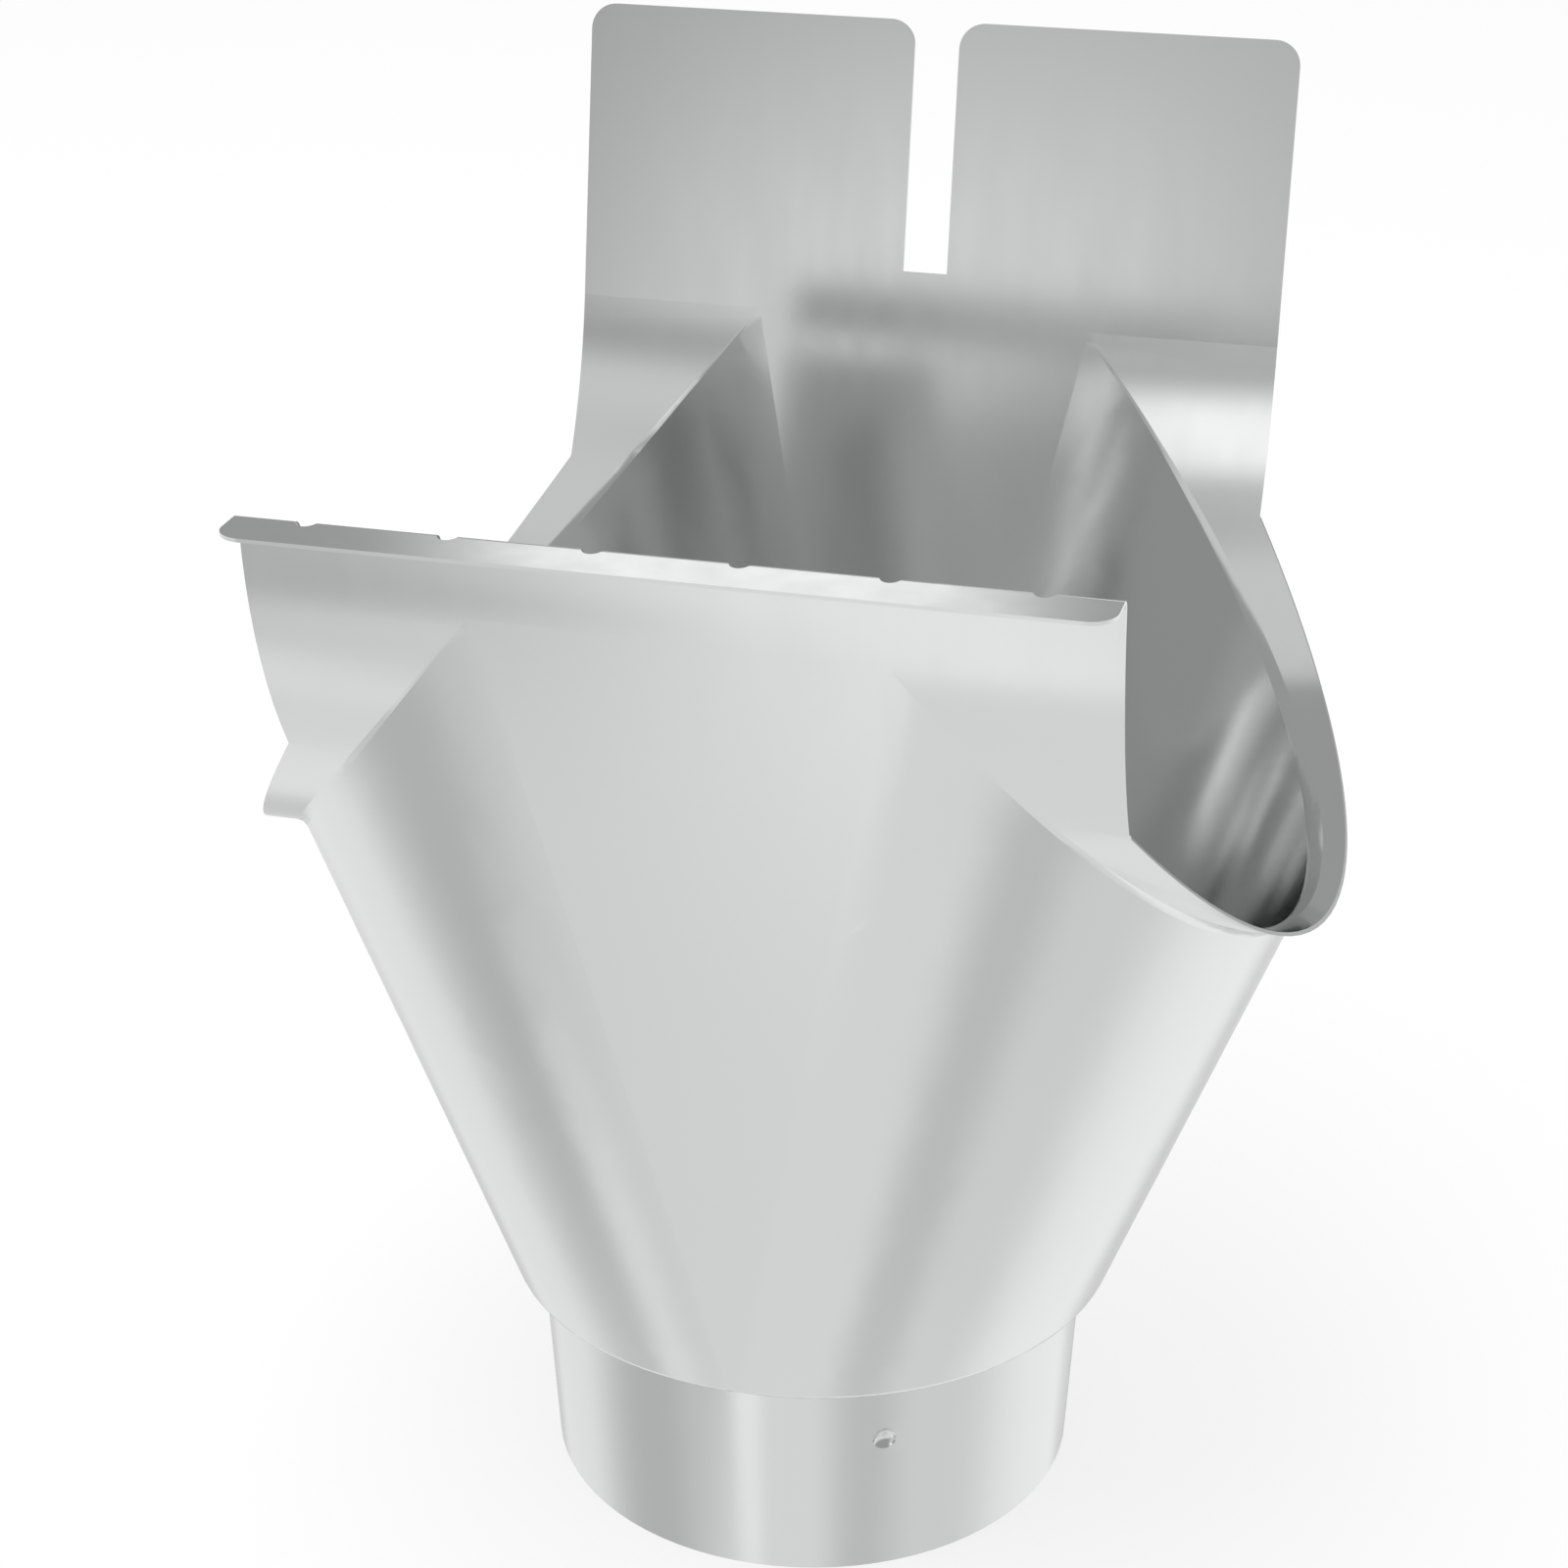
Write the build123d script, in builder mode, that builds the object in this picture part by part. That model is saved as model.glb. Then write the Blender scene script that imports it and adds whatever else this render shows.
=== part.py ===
from build123d import *
from math import acos, atan2, cos, hypot, radians, sin, sqrt, tan
import os

# A gutter outlet, deep-drawn from one piece of sheet metal.
# A half-round saddle takes the gutter from below. Its bottom opens into a funnel that turns
# from a long rounded mouth into a round shoulder, and a tapered spigot goes on down into the
# downpipe. Two tabs stand up at the back, and a flat lip hooks out at the front.
# Millimetres and degrees. X runs along the gutter, the front is at -Y, and the origin is the
# middle of the spigot's lower end.

# Sheet and saddle
sheet = 0.7                 # thickness of the metal
gutter_radius = 97.0        # inside of the saddle, on the outside of the gutter
axis_height = 243.7         # gutter axis above the spigot's lower end
strip_width = 158.0         # saddle at the front and back, and both tabs together
flange_width = 5.8          # saddle beyond the funnel's mouth, along the lowest line
flange_drop = 51.3          # from the gutter axis down to where the flanges begin
flange_corner = 1.2         # rounding where a flange meets a strip

# Funnel
mouth_length = 206.4        # outside of the funnel along the saddle's lowest line
shoulder_step = 5.05        # from the spigot out to the funnel's foot
shoulder_flat = 2.0         # straight stretch of each flat wall at the funnel's foot
crease_radius = 3.3         # rounding from the saddle into the funnel, on the inside
crease_fade = 2.0           # the crease stays sharp this far below the line where it fades out

# Shoulder and spigot
spigot_length = 48.2        # from the lower end to the underside of the shoulder
spigot_diameter = 119.1     # outside, at the shoulder
spigot_taper = 2.7          # how much the radius shrinks down to the lower end
shoulder_radius = 1.5       # outside rounding of the shoulder
root_radius = 0.8           # outside rounding between shoulder and spigot
dimple_diameter = 5.2       # stop dimple pressed into the spigot
dimple_depth = 1.2
dimple_height = 33.0
dimple_angle = 29.5         # from the middle of the front towards +X

# Tabs
tab_length = 65.0           # straight part, from the saddle's curve to the top edge
tab_slot_width = 9.9        # slot between the two tabs
tab_slot_bottom = 10.4      # foot of the slot above the saddle's curve
tab_corner = 5.6

# Front lip
lip_width = 12.5            # from the saddle's radius out to the front edge
lip_drop = 0.6              # top of the lip below the gutter axis
lip_corner = 5.0
bend_radius = 2.5           # rounding of the fold on the lip's upper face
gusset_count = 6            # stiffening grooves pressed across the fold
gusset_pitch = 26.2
gusset_leg = 4.0            # how far each groove runs down the strip and out along the lip
gusset_radius = 2.0

flange_length = mouth_length + 2 * flange_width
lip_reach = gutter_radius + lip_width
headroom = tab_length + gutter_radius   # height of the open space kept free above the axis
foot_radius = spigot_diameter / 2 + shoulder_step
foot_drop = axis_height - spigot_length

# The flat walls run from the funnel's foot and touch the saddle's outer face.
foot_distance = hypot(foot_radius, foot_drop)
lean = atan2(foot_drop, foot_radius) - acos((gutter_radius + sheet) / foot_distance)
end_lean = atan2(mouth_length / 2 - foot_radius - shoulder_flat / 2, foot_drop - gutter_radius)

# The dimple is pressed in by a ball that stands off the spigot's wall.
ball_radius = (dimple_diameter ** 2 / 4 + dimple_depth ** 2) / (2 * dimple_depth)
dimple_turn = radians(dimple_angle)
wall_radius = spigot_diameter / 2 - spigot_taper * (1 - dimple_height / spigot_length)
dimple_wall = Plane(
    origin=(wall_radius * sin(dimple_turn), -wall_radius * cos(dimple_turn), dimple_height),
    z_dir=(sin(dimple_turn), -cos(dimple_turn), 0),
)

# The tabs go on straight from the saddle's curve, whose end is the origin of this plane.
tab_face = Plane(
    origin=(0, gutter_radius * cos(lean), axis_height - gutter_radius * sin(lean)),
    x_dir=(1, 0, 0),
    z_dir=(0, -cos(lean), sin(lean)),
)
tab_top = Plane(origin=tab_face.from_local_coords((0, tab_length, 0)), z_dir=tab_face.y_dir)

gusset_places = [gusset_pitch * (i - (gusset_count - 1) / 2) for i in range(gusset_count)]
rod_length = 4 * gusset_leg     # the rods that press the grooves run well past their ends
same_length = sheet / 100       # edges this close to the sheet's thickness run across the sheet


def slot_half(z, skin):
    """Half of the straight stretch of the funnel's section at a height, on one face of the sheet."""
    inset = (sheet - skin) * (1 / cos(end_lean) - 1 / cos(lean))
    return shoulder_flat / 2 + (tan(end_lean) - tan(lean)) * (z - spigot_length) - inset


def section(skin):
    """Section across the gutter, on one face of the sheet: saddle, tabs, open top and front lip."""
    radius = gutter_radius + skin
    back_y = radius * cos(lean)
    back_z = axis_height - radius * sin(lean)
    lip_y = -lip_reach - (sheet - skin)
    lip_z = axis_height - lip_drop - skin
    fold_y = -sqrt(radius ** 2 - (lip_drop + skin) ** 2)
    top_y = back_y + tan(lean) * (axis_height + headroom - back_z)
    top_z = axis_height + headroom
    with BuildSketch(Plane.YZ) as profile:
        with BuildLine():
            bowl = ThreePointArc((fold_y, lip_z), (0, axis_height - radius), (back_y, back_z))
            Polyline(bowl @ 1, (top_y, top_z), (lip_y, top_z), (lip_y, lip_z), bowl @ 0)
        make_face()
        fold = profile.vertices().sort_by_distance((fold_y, lip_z, 0))[0]
        fillet(fold, radius=bend_radius - skin)
    return profile.sketch


def saddle_and_funnel(skin):
    """Untrimmed saddle joined to the funnel, with the crease between them still sharp."""
    radius = gutter_radius + skin
    mouth_z = axis_height - radius * sin(lean)
    mouth_y = radius * cos(lean)
    shoulder_z = spigot_length + sheet - skin
    shoulder_y = mouth_y - tan(lean) * (mouth_z - shoulder_z)
    with BuildPart() as joined:
        extrude(section(skin), amount=flange_length, both=True)
        for z, y in ((shoulder_z, shoulder_y), (mouth_z, mouth_y)):
            with BuildSketch(Plane.XY.offset(z)):
                SlotOverall(2 * (slot_half(z, skin) + y), 2 * y)
        loft(ruled=True)
    return joined.part


def form(skin):
    """Everything on the hollow side of one face of the sheet: 0 is its inner face."""
    radius = gutter_radius + skin
    saddle_bottom = axis_height - radius
    crease_end = Plane.XY.offset(axis_height - radius * sin(lean) - crease_fade)
    joined = saddle_and_funnel(skin)
    with BuildPart() as lower:
        add(joined)
        split(bisect_by=crease_end, keep=Keep.BOTTOM)
        curved = lower.edges().filter_by(GeomType.BSPLINE)
        creases = curved.filter_by(lambda edge: abs((edge @ 0.5).Z - saddle_bottom) < sheet)
        fillet(creases, radius=crease_radius - skin)
        fillet(lower.edges().group_by(Axis.Z)[0], radius=shoulder_radius - sheet + skin)
        end_radius = spigot_diameter / 2 - spigot_taper - sheet + skin
        height = spigot_length + sheet - skin
        top_radius = end_radius + spigot_taper * height / spigot_length
        Cone(end_radius, top_radius, height, align=(Align.CENTER, Align.CENTER, Align.MIN))
        # Counted from the bottom, the second ring of circles is where the cone meets the shoulder.
        root = lower.edges().filter_by(GeomType.CIRCLE).group_by(Axis.Z)[1]
        fillet(root, radius=root_radius + sheet - skin)
    with BuildPart() as whole:
        add(joined)
        split(bisect_by=crease_end, keep=Keep.TOP)
        add(lower.part)
    return whole.part


def front_outline():
    """Front view of what is left after trimming: tabs, strips and the slanting flanges."""
    strip_x = strip_width / 2
    corner_z = axis_height - flange_drop
    slope = (flange_length / 2 - strip_x) / (gutter_radius - flange_drop)
    under_z = axis_height - gutter_radius - crease_radius
    under_x = strip_x + slope * (corner_z - under_z)
    top_z = axis_height + headroom
    side_x = strip_width + flange_length
    with BuildSketch(Plane.XZ) as outline:
        with BuildLine():
            right = Polyline(
                (0, top_z),
                (strip_x, top_z),
                (strip_x, corner_z),
                (under_x, under_z),
                (side_x, under_z),
                (side_x, 0),
                (0, 0),
            )
            mirror(right, about=Plane.YZ)
        make_face()
        corners = outline.vertices().filter_by(lambda corner: abs(corner.Y - corner_z) < sheet)
        fillet(corners, radius=flange_corner)
    return outline.sketch


def gusset_rod(x, radius):
    """Rod along one stiffening groove, sloping down through the fold of the lip."""
    # At the groove's radius, its lowest line leaves the strip and the lip one leg from the fold.
    shift = (gusset_leg / sqrt(2) - gusset_radius) / sqrt(2)
    middle = (x, -gutter_radius - shift, axis_height - lip_drop - shift)
    with BuildPart(Plane(origin=middle, z_dir=(0, -1, 1))) as rod:
        Cylinder(radius, rod_length)
    return rod.part


def dimple_ball(radius):
    """Ball that presses the dimple in, standing off the spigot's wall."""
    with BuildPart(dimple_wall.offset(ball_radius - dimple_depth)) as ball:
        Sphere(radius)
    return ball.part


outer_form = form(sheet)
inner_form = form(0)
gusset_skins = [gusset_rod(x, gusset_radius + sheet) - inner_form for x in gusset_places]
dimple_skin = split(dimple_ball(ball_radius + sheet), dimple_wall.offset(-sheet / 2), keep=Keep.BOTTOM)

with BuildPart() as outlet_body:
    add(outer_form)
    extrude(front_outline(), amount=2 * gutter_radius, both=True, mode=Mode.INTERSECT)
    add(inner_form, mode=Mode.SUBTRACT)
    split(bisect_by=tab_top, keep=Keep.BOTTOM)
    with BuildSketch(tab_face):
        with Locations((0, tab_slot_bottom)):
            Rectangle(tab_slot_width, tab_length, align=(Align.CENTER, Align.MIN))
    extrude(amount=tab_slot_width, both=True, mode=Mode.SUBTRACT)
    across = outlet_body.edges().filter_by(lambda edge: abs(edge.length - sheet) < same_length)
    tab_corners = across.filter_by(lambda edge: edge.center().Z > axis_height + tab_length / 2)
    fillet(tab_corners, radius=tab_corner)
    lip_corners = across.filter_by(lambda edge: edge.center().Y < sheet - lip_reach)
    fillet(lip_corners, radius=lip_corner)
    for x, gusset_skin in zip(gusset_places, gusset_skins):
        add(gusset_skin)
        add(gusset_rod(x, gusset_radius), mode=Mode.SUBTRACT)
    add(dimple_skin)
    add(dimple_ball(ball_radius), mode=Mode.SUBTRACT)

outlet_body.part.label = "outlet_body"
os.makedirs("parts", exist_ok=True)
export_step(outlet_body.part, "parts/outlet_body.step")
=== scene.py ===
from math import radians

import bpy
from bpy.props import FloatProperty, FloatVectorProperty, PointerProperty
from mathutils import Matrix, Vector

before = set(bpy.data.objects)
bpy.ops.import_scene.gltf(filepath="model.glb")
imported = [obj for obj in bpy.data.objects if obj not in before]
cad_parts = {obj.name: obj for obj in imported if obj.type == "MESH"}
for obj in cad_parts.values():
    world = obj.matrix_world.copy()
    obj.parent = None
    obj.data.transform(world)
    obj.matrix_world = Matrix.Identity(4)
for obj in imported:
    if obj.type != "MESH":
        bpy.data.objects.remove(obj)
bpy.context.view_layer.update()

bl_info = {
    "name": "Gutter Outlet",
    "version": (1, 0, 0),
    "blender": (4, 5, 0),
    "location": "View3D > Sidebar > Gutter Outlet",
    "description": "Finishes a deep-drawn sheet metal gutter outlet and sets up its studio",
    "category": "Object",
}

# Soft cards round the object, as the satin metal sees them. Each has an azimuth from the front
# towards +X, an elevation, half its width and height, how soft its sides and its ends are, all
# in degrees, and a brightness. A later card lies over an earlier one.
CARDS = (
    ("ground", 0, -90, 180, 72, 10, 16, 0.80),
    ("ground behind right", 150, -90, 15, 72, 55, 16, 0.97),
    ("ground behind left", -130, -90, 20, 72, 40, 16, 0.88),
    ("shade behind", 178, -44, 6, 6, 20, 20, 0.66),
    ("shade behind left", -150, -46, 3, 6, 16, 18, 0.64),
    ("flag left", -61, -42, 4, 4, 42, 20, 0.53),
    ("flag edge", -46, -56, 3, 3, 14, 9, 0.84),
    ("flag far right", 68, -48, 10, 8, 32, 20, 0.73),
    ("flag right", 38, -50, 3, 8, 22, 18, 0.60),
    ("front strip shade", -29, -29, 3, 6, 9, 9, 0.50),
    ("front strip light", -14, -34, 1, 7, 9, 9, 0.98),
    ("side shade", -54, 4, 18, 8, 10, 8, 0.31),
    ("front wall", -4, 2, 5, 12, 14, 6, 0.49),
    ("tab light", -12, 0, 1, 2, 8, 8, 0.88),
    ("front softbox", -21, 50, 20, 29, 12, 10, 0.67),
    ("softbox gap", -13, 41, 1, 4, 10, 12, 0.48),
    ("key strip", -6, 24, 1, 4, 7, 10, 1.22),
    ("back shade", 164, 26, 4, 4, 8, 8, 0.20),
    ("back strip", -164, 21.2, 3, 1.5, 4, 3, 1.20),
)

# Nearly all of a noise texture's values lie between these.
NOISE_LOW = 0.3
NOISE_HIGH = 0.7

# How many finer layers each pattern of the metal has on top of its first.
STREAK_DETAIL = 3.0
CLOUD_DETAIL = 2.0
RIPPLE_DETAIL = 1.0

WHITE = 1.0             # strength at which the world looks white to the camera
SENSOR_WIDTH = 36.0     # millimetres
NEAREST = 0.01          # metres from the camera to the nearest thing that it shows


class OutletSheetFinish(bpy.types.PropertyGroup):
    metal_colour: FloatVectorProperty(
        name="Metal Colour",
        description="Colour of the bright rolled sheet",
        subtype="COLOR",
        size=3,
        min=0.0,
        max=1.0,
        default=(0.797, 0.803, 0.803),
    )
    roughness: FloatProperty(
        name="Roughness",
        description="Mean roughness of the satin surface",
        min=0.0,
        max=1.0,
        default=0.14,
    )
    roughness_spread: FloatProperty(
        name="Roughness Spread",
        description="How far the roughness strays to either side in the drawing streaks",
        min=0.0,
        max=0.2,
        default=0.015,
    )
    streak_scale: FloatProperty(
        name="Streak Scale",
        description="Streaks to a metre, across the draw",
        min=1.0,
        max=1000.0,
        default=160.0,
    )
    streak_squash: FloatProperty(
        name="Streak Squash",
        description="How much the streaks' pattern is squashed upright, which draws them out",
        min=0.01,
        max=1.0,
        default=0.12,
    )
    cloud_scale: FloatProperty(
        name="Cloud Scale",
        description="Slow clouds of tone to a metre",
        min=1.0,
        max=100.0,
        default=9.0,
    )
    cloud_spread: FloatProperty(
        name="Cloud Spread",
        description="How far the clouds lighten and darken the metal, as a share of its colour",
        min=0.0,
        max=0.2,
        default=0.015,
    )
    ripple_scale: FloatProperty(
        name="Ripple Scale",
        description="Waves of the ripple to a metre",
        min=1.0,
        max=200.0,
        default=28.0,
    )
    ripple_height: FloatProperty(
        name="Ripple Height",
        description="Height of the slow ripple that drawing leaves in the sheet",
        subtype="DISTANCE",
        unit="LENGTH",
        min=0.0,
        max=0.001,
        default=0.000006,
    )


class OutletStudio(bpy.types.PropertyGroup):
    floor_colour: FloatVectorProperty(
        name="Floor Colour",
        description="Colour of the floor and the backdrop",
        subtype="COLOR",
        size=3,
        min=0.0,
        max=1.0,
        default=(1.0, 1.0, 1.0),
    )
    floor_size: FloatProperty(
        name="Floor Size",
        description="Length of each side of the floor",
        subtype="DISTANCE",
        unit="LENGTH",
        min=1.0,
        max=80.0,
        default=40.0,
    )
    shadow_share: FloatProperty(
        name="Shadow Share",
        description="Share of the floor's light that the object can shade",
        min=0.0,
        max=1.0,
        default=0.25,
    )
    dome: FloatProperty(
        name="Dome",
        description="Brightness of the plain dome above the horizon, seen in the metal",
        min=0.0,
        max=2.0,
        default=0.36,
    )
    fill: FloatProperty(
        name="Fill",
        description="Even light from all sides on anything that isn't metal",
        min=0.0,
        max=2.0,
        default=0.75,
    )
    lamp_power: FloatProperty(
        name="Lamp Power",
        description="Power of the softbox overhead, which casts the object's shadow on the floor",
        subtype="POWER",
        unit="POWER",
        min=0.0,
        max=200.0,
        default=20.0,
    )
    lamp_size: FloatProperty(
        name="Lamp Size",
        description="Width of the softbox overhead",
        subtype="DISTANCE",
        unit="LENGTH",
        min=0.1,
        max=5.0,
        default=1.6,
    )
    lamp_place: FloatVectorProperty(
        name="Lamp Place",
        description="Where the softbox hangs; it points at the foot of the spigot",
        subtype="TRANSLATION",
        unit="LENGTH",
        size=3,
        default=(-0.4, -0.3, 2.2),
    )
    eye: FloatVectorProperty(
        name="Eye",
        description="Where the camera stands",
        subtype="TRANSLATION",
        unit="LENGTH",
        size=3,
        default=(0.15916, -0.60660, 0.44848),
    )
    azimuth: FloatProperty(
        name="Azimuth",
        description="How far the camera is turned from the front towards the right",
        subtype="ANGLE",
        unit="ROTATION",
        default=radians(15.25),
    )
    elevation: FloatProperty(
        name="Elevation",
        description="How far the camera looks down",
        subtype="ANGLE",
        unit="ROTATION",
        default=radians(25.01),
    )
    roll: FloatProperty(
        name="Roll",
        description="How far the camera is tipped to one side",
        subtype="ANGLE",
        unit="ROTATION",
        default=radians(-0.18),
    )
    lens: FloatProperty(
        name="Lens",
        description="Focal length, on a sensor 36 mm wide",
        subtype="DISTANCE_CAMERA",
        unit="CAMERA",
        min=10.0,
        max=300.0,
        default=76.88,
    )


def math_node(tree, operation, *inputs):
    """Math node of that operation. Each input is a number or another node's socket."""
    node = tree.nodes.new("ShaderNodeMath")
    node.operation = operation
    for socket, value in zip(node.inputs, inputs):
        if isinstance(value, bpy.types.NodeSocket):
            tree.links.new(value, socket)
        else:
            socket.default_value = value
    return node.outputs[0]


def soft_window(tree, distance, half, softness):
    """1 within half of the middle, falling smoothly to 0 over the softness, from a distance."""
    node = tree.nodes.new("ShaderNodeMapRange")
    node.interpolation_type = "SMOOTHSTEP"
    tree.links.new(distance, node.inputs["Value"])
    node.inputs["From Min"].default_value = half
    node.inputs["From Max"].default_value = half + softness
    node.inputs["To Min"].default_value = 1.0
    node.inputs["To Max"].default_value = 0.0
    return node.outputs["Result"]


def colour_sockets(mix):
    """The two colour inputs and the colour output of a Mix node set to colours."""
    first, second = (socket for socket in mix.inputs if socket.type == "RGBA")
    return first, second, next(socket for socket in mix.outputs if socket.type == "RGBA")


def noise(tree, place, scale, detail):
    """Value of a noise pattern at a place, with so many cells to a metre."""
    node = tree.nodes.new("ShaderNodeTexNoise")
    node.inputs["Scale"].default_value = scale
    node.inputs["Detail"].default_value = detail
    tree.links.new(place, node.inputs["Vector"])
    return node.outputs["Fac"]


def sheet_material(finish):
    """Satin rolled metal with faint streaks along the draw, slow clouds of tone and a ripple."""
    material = bpy.data.materials.new("satin_sheet")
    material.use_nodes = True
    tree = material.node_tree
    shader = tree.nodes["Principled BSDF"]
    shader.inputs["Metallic"].default_value = 1.0
    place = tree.nodes.new("ShaderNodeTexCoord").outputs["Object"]

    stretch = tree.nodes.new("ShaderNodeMapping")
    stretch.inputs["Scale"].default_value = (1.0, 1.0, finish.streak_squash)
    tree.links.new(place, stretch.inputs["Vector"])
    streaks = noise(tree, stretch.outputs["Vector"], finish.streak_scale, STREAK_DETAIL)
    rough = tree.nodes.new("ShaderNodeMapRange")
    rough.inputs["From Min"].default_value = NOISE_LOW
    rough.inputs["From Max"].default_value = NOISE_HIGH
    rough.inputs["To Min"].default_value = finish.roughness - finish.roughness_spread
    rough.inputs["To Max"].default_value = finish.roughness + finish.roughness_spread
    tree.links.new(streaks, rough.inputs["Value"])
    tree.links.new(rough.outputs["Result"], shader.inputs["Roughness"])

    clouds = noise(tree, place, finish.cloud_scale, CLOUD_DETAIL)
    tone = tree.nodes.new("ShaderNodeMix")
    tone.data_type = "RGBA"
    dark, light, mixed = colour_sockets(tone)
    dark.default_value = (*((1 - finish.cloud_spread) * c for c in finish.metal_colour), 1.0)
    light.default_value = (*((1 + finish.cloud_spread) * c for c in finish.metal_colour), 1.0)
    tree.links.new(clouds, tone.inputs["Factor"])
    tree.links.new(mixed, shader.inputs["Base Color"])

    waves = noise(tree, place, finish.ripple_scale, RIPPLE_DETAIL)
    ripple = tree.nodes.new("ShaderNodeBump")
    ripple.inputs["Strength"].default_value = 1.0
    ripple.inputs["Distance"].default_value = finish.ripple_height
    tree.links.new(waves, ripple.inputs["Height"])
    tree.links.new(ripple.outputs["Normal"], shader.inputs["Normal"])
    return material


def floor_material(studio):
    """Pale floor: most of its light is its own, the rest is what reaches it past the object."""
    material = bpy.data.materials.new("pale_floor")
    material.use_nodes = True
    tree = material.node_tree
    tree.nodes.remove(tree.nodes["Principled BSDF"])
    colour = tuple(studio.floor_colour)
    own = tree.nodes.new("ShaderNodeEmission")
    own.inputs["Color"].default_value = (*colour, 1.0)
    own.inputs["Strength"].default_value = 1.0 - studio.shadow_share
    lit = tree.nodes.new("ShaderNodeBsdfDiffuse")
    lit.inputs["Color"].default_value = (*(studio.shadow_share * c for c in colour), 1.0)
    both = tree.nodes.new("ShaderNodeAddShader")
    tree.links.new(own.outputs[0], both.inputs[0])
    tree.links.new(lit.outputs[0], both.inputs[1])
    tree.links.new(both.outputs[0], tree.nodes["Material Output"].inputs["Surface"])
    return material


def studio_world(studio):
    """World: white to the camera, an even fill to matt surfaces, soft cards to shiny ones."""
    world = bpy.data.worlds.new("studio_world")
    world.use_nodes = True
    tree = world.node_tree
    background = tree.nodes["Background"]
    background.inputs["Color"].default_value = (1.0, 1.0, 1.0, 1.0)
    direction = tree.nodes.new("ShaderNodeSeparateXYZ")
    coordinates = tree.nodes.new("ShaderNodeTexCoord")
    tree.links.new(coordinates.outputs["Generated"], direction.inputs[0])
    towards_front = math_node(tree, "MULTIPLY", direction.outputs["Y"], -1.0)
    azimuth = math_node(tree, "ARCTAN2", direction.outputs["X"], towards_front)
    elevation = math_node(tree, "ARCSINE", direction.outputs["Z"])

    # The plain dome lies behind all the cards.
    seen = math_node(tree, "ADD", 0.0, studio.dome)
    for name, turn, rise, half_width, half_height, side_soft, end_soft, brightness in CARDS:
        aside = math_node(tree, "SUBTRACT", azimuth, radians(turn))
        aside = math_node(tree, "WRAP", aside, radians(-180), radians(180))
        aside = math_node(tree, "ABSOLUTE", aside)
        above = math_node(tree, "ABSOLUTE", math_node(tree, "SUBTRACT", elevation, radians(rise)))
        across = soft_window(tree, aside, radians(half_width), radians(side_soft))
        upright = soft_window(tree, above, radians(half_height), radians(end_soft))
        card = tree.nodes.new("ShaderNodeMix")
        card.label = name
        tree.links.new(math_node(tree, "MULTIPLY", across, upright), card.inputs["Factor"])
        tree.links.new(seen, card.inputs["A"])
        card.inputs["B"].default_value = brightness
        seen = card.outputs["Result"]

    ray = tree.nodes.new("ShaderNodeLightPath").outputs
    shiny = math_node(tree, "MAXIMUM", ray["Is Glossy Ray"], ray["Is Transmission Ray"])
    to_objects = tree.nodes.new("ShaderNodeMix")
    tree.links.new(shiny, to_objects.inputs["Factor"])
    to_objects.inputs["A"].default_value = studio.fill
    tree.links.new(seen, to_objects.inputs["B"])
    to_all = tree.nodes.new("ShaderNodeMix")
    tree.links.new(ray["Is Camera Ray"], to_all.inputs["Factor"])
    tree.links.new(to_objects.outputs["Result"], to_all.inputs["A"])
    to_all.inputs["B"].default_value = WHITE
    tree.links.new(to_all.outputs["Result"], background.inputs["Strength"])
    return world


def lay_floor(scene, studio):
    """Square floor under the object, which shows in no reflection."""
    half = studio.floor_size / 2
    corners = [(-half, -half, 0), (half, -half, 0), (half, half, 0), (-half, half, 0)]
    mesh = bpy.data.meshes.new("floor")
    mesh.from_pydata(corners, [], [(0, 1, 2, 3)])
    mesh.materials.append(floor_material(studio))
    floor = bpy.data.objects.new("floor", mesh)
    floor.visible_glossy = False
    scene.collection.objects.link(floor)


def hang_softbox(scene, studio):
    """Round lamp overhead, aimed at the foot of the spigot, which shows in no reflection."""
    lamp = bpy.data.lights.new("overhead_softbox", "AREA")
    lamp.shape = "DISK"
    lamp.size = studio.lamp_size
    lamp.energy = studio.lamp_power
    overhead = bpy.data.objects.new("overhead_softbox", lamp)
    overhead.location = studio.lamp_place
    overhead.rotation_euler = (-overhead.location).to_track_quat("-Z", "Y").to_euler()
    overhead.visible_glossy = False
    scene.collection.objects.link(overhead)


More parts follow.
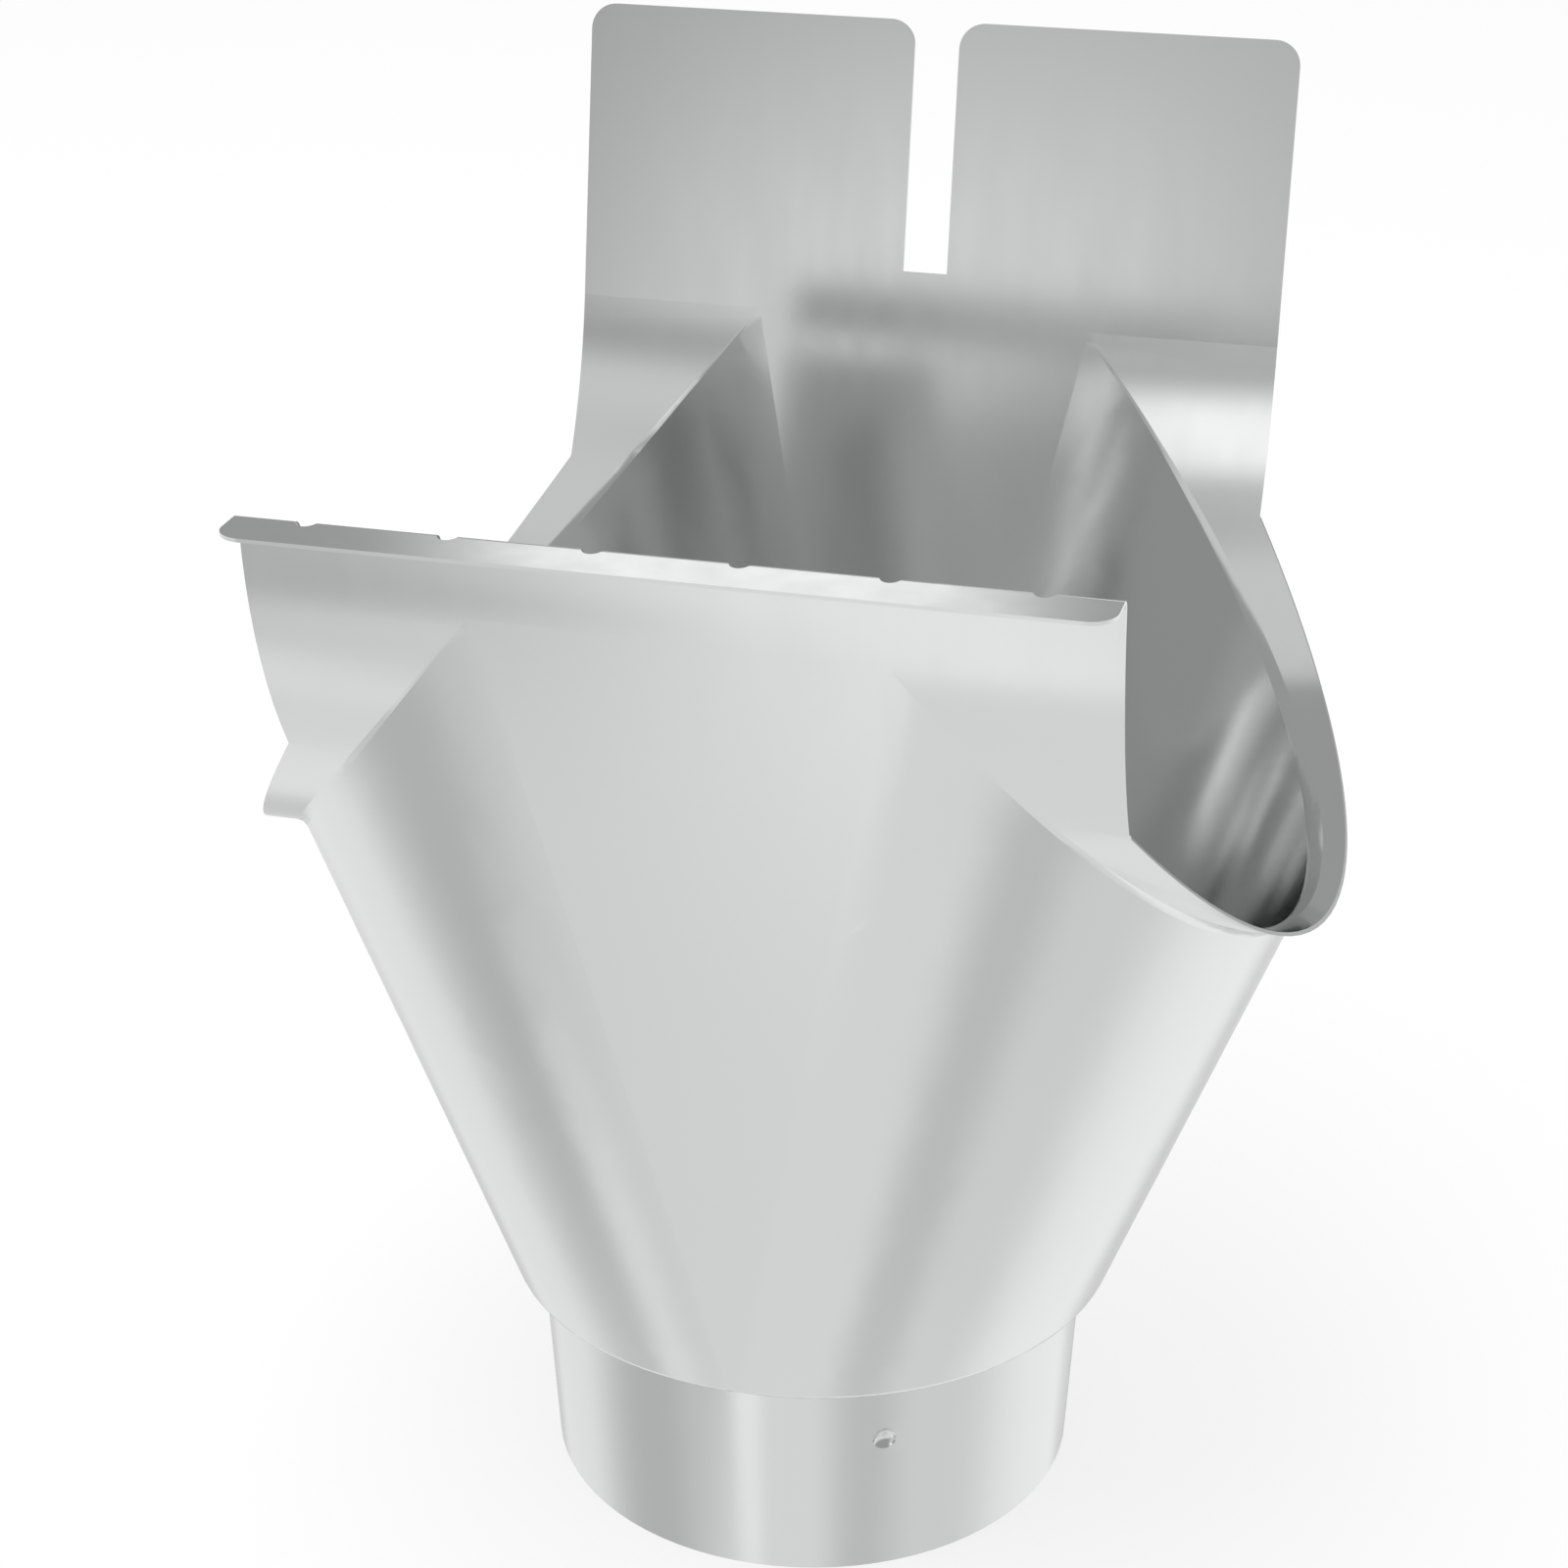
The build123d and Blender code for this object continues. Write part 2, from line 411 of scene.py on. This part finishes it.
def set_up_camera(scene, studio):
    """Camera at the eye, turned about the vertical, tilted down and then tipped to one side."""
    lens = bpy.data.cameras.new("camera")
    lens.sensor_fit = "HORIZONTAL"
    lens.sensor_width = SENSOR_WIDTH
    lens.lens = studio.lens
    lens.clip_start = NEAREST
    camera = bpy.data.objects.new("camera", lens)
    turn = Matrix.Rotation(studio.azimuth, 4, "Z")
    tilt = Matrix.Rotation(radians(90) - studio.elevation, 4, "X")
    tip = Matrix.Rotation(studio.roll, 4, "Z")
    camera.matrix_world = Matrix.Translation(Vector(studio.eye)) @ turn @ tilt @ tip
    scene.collection.objects.link(camera)
    scene.camera = camera


class OUTLET_OT_finish_sheet(bpy.types.Operator):
    """Gives the outlet's one piece of sheet its satin metal finish"""

    bl_idname = "outlet.finish_sheet"
    bl_label = "Finish Sheet"

    def execute(self, context):
        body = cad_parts["outlet_body"]
        finish = sheet_material(context.scene.outlet_sheet)
        for place in body.material_slots:
            place.material = finish
        return {"FINISHED"}


class OUTLET_OT_build_studio(bpy.types.Operator):
    """Lays the pale floor and sets up the light, the world and the camera"""

    bl_idname = "outlet.build_studio"
    bl_label = "Build Studio"

    def execute(self, context):
        scene = context.scene
        studio = scene.outlet_studio
        lay_floor(scene, studio)
        hang_softbox(scene, studio)
        scene.world = studio_world(studio)
        scene.view_settings.view_transform = "Standard"
        set_up_camera(scene, studio)
        return {"FINISHED"}


class OUTLET_PT_panel(bpy.types.Panel):
    bl_label = "Gutter Outlet"
    bl_space_type = "VIEW_3D"
    bl_region_type = "UI"
    bl_category = "Gutter Outlet"

    def draw(self, context):
        for title, settings, operator in (
            ("Sheet", context.scene.outlet_sheet, "outlet.finish_sheet"),
            ("Studio", context.scene.outlet_studio, "outlet.build_studio"),
        ):
            group = self.layout.box()
            group.label(text=title)
            for name in settings.__annotations__:
                group.prop(settings, name)
            group.operator(operator)


CLASSES = (
    OutletSheetFinish,
    OutletStudio,
    OUTLET_OT_finish_sheet,
    OUTLET_OT_build_studio,
    OUTLET_PT_panel,
)


def register():
    for cls in CLASSES:
        bpy.utils.register_class(cls)
    bpy.types.Scene.outlet_sheet = PointerProperty(type=OutletSheetFinish)
    bpy.types.Scene.outlet_studio = PointerProperty(type=OutletStudio)


def unregister():
    del bpy.types.Scene.outlet_studio
    del bpy.types.Scene.outlet_sheet
    for cls in reversed(CLASSES):
        bpy.utils.unregister_class(cls)


def main():
    register()
    bpy.ops.outlet.finish_sheet()
    bpy.ops.outlet.build_studio()


if __name__ == "__main__":
    main()
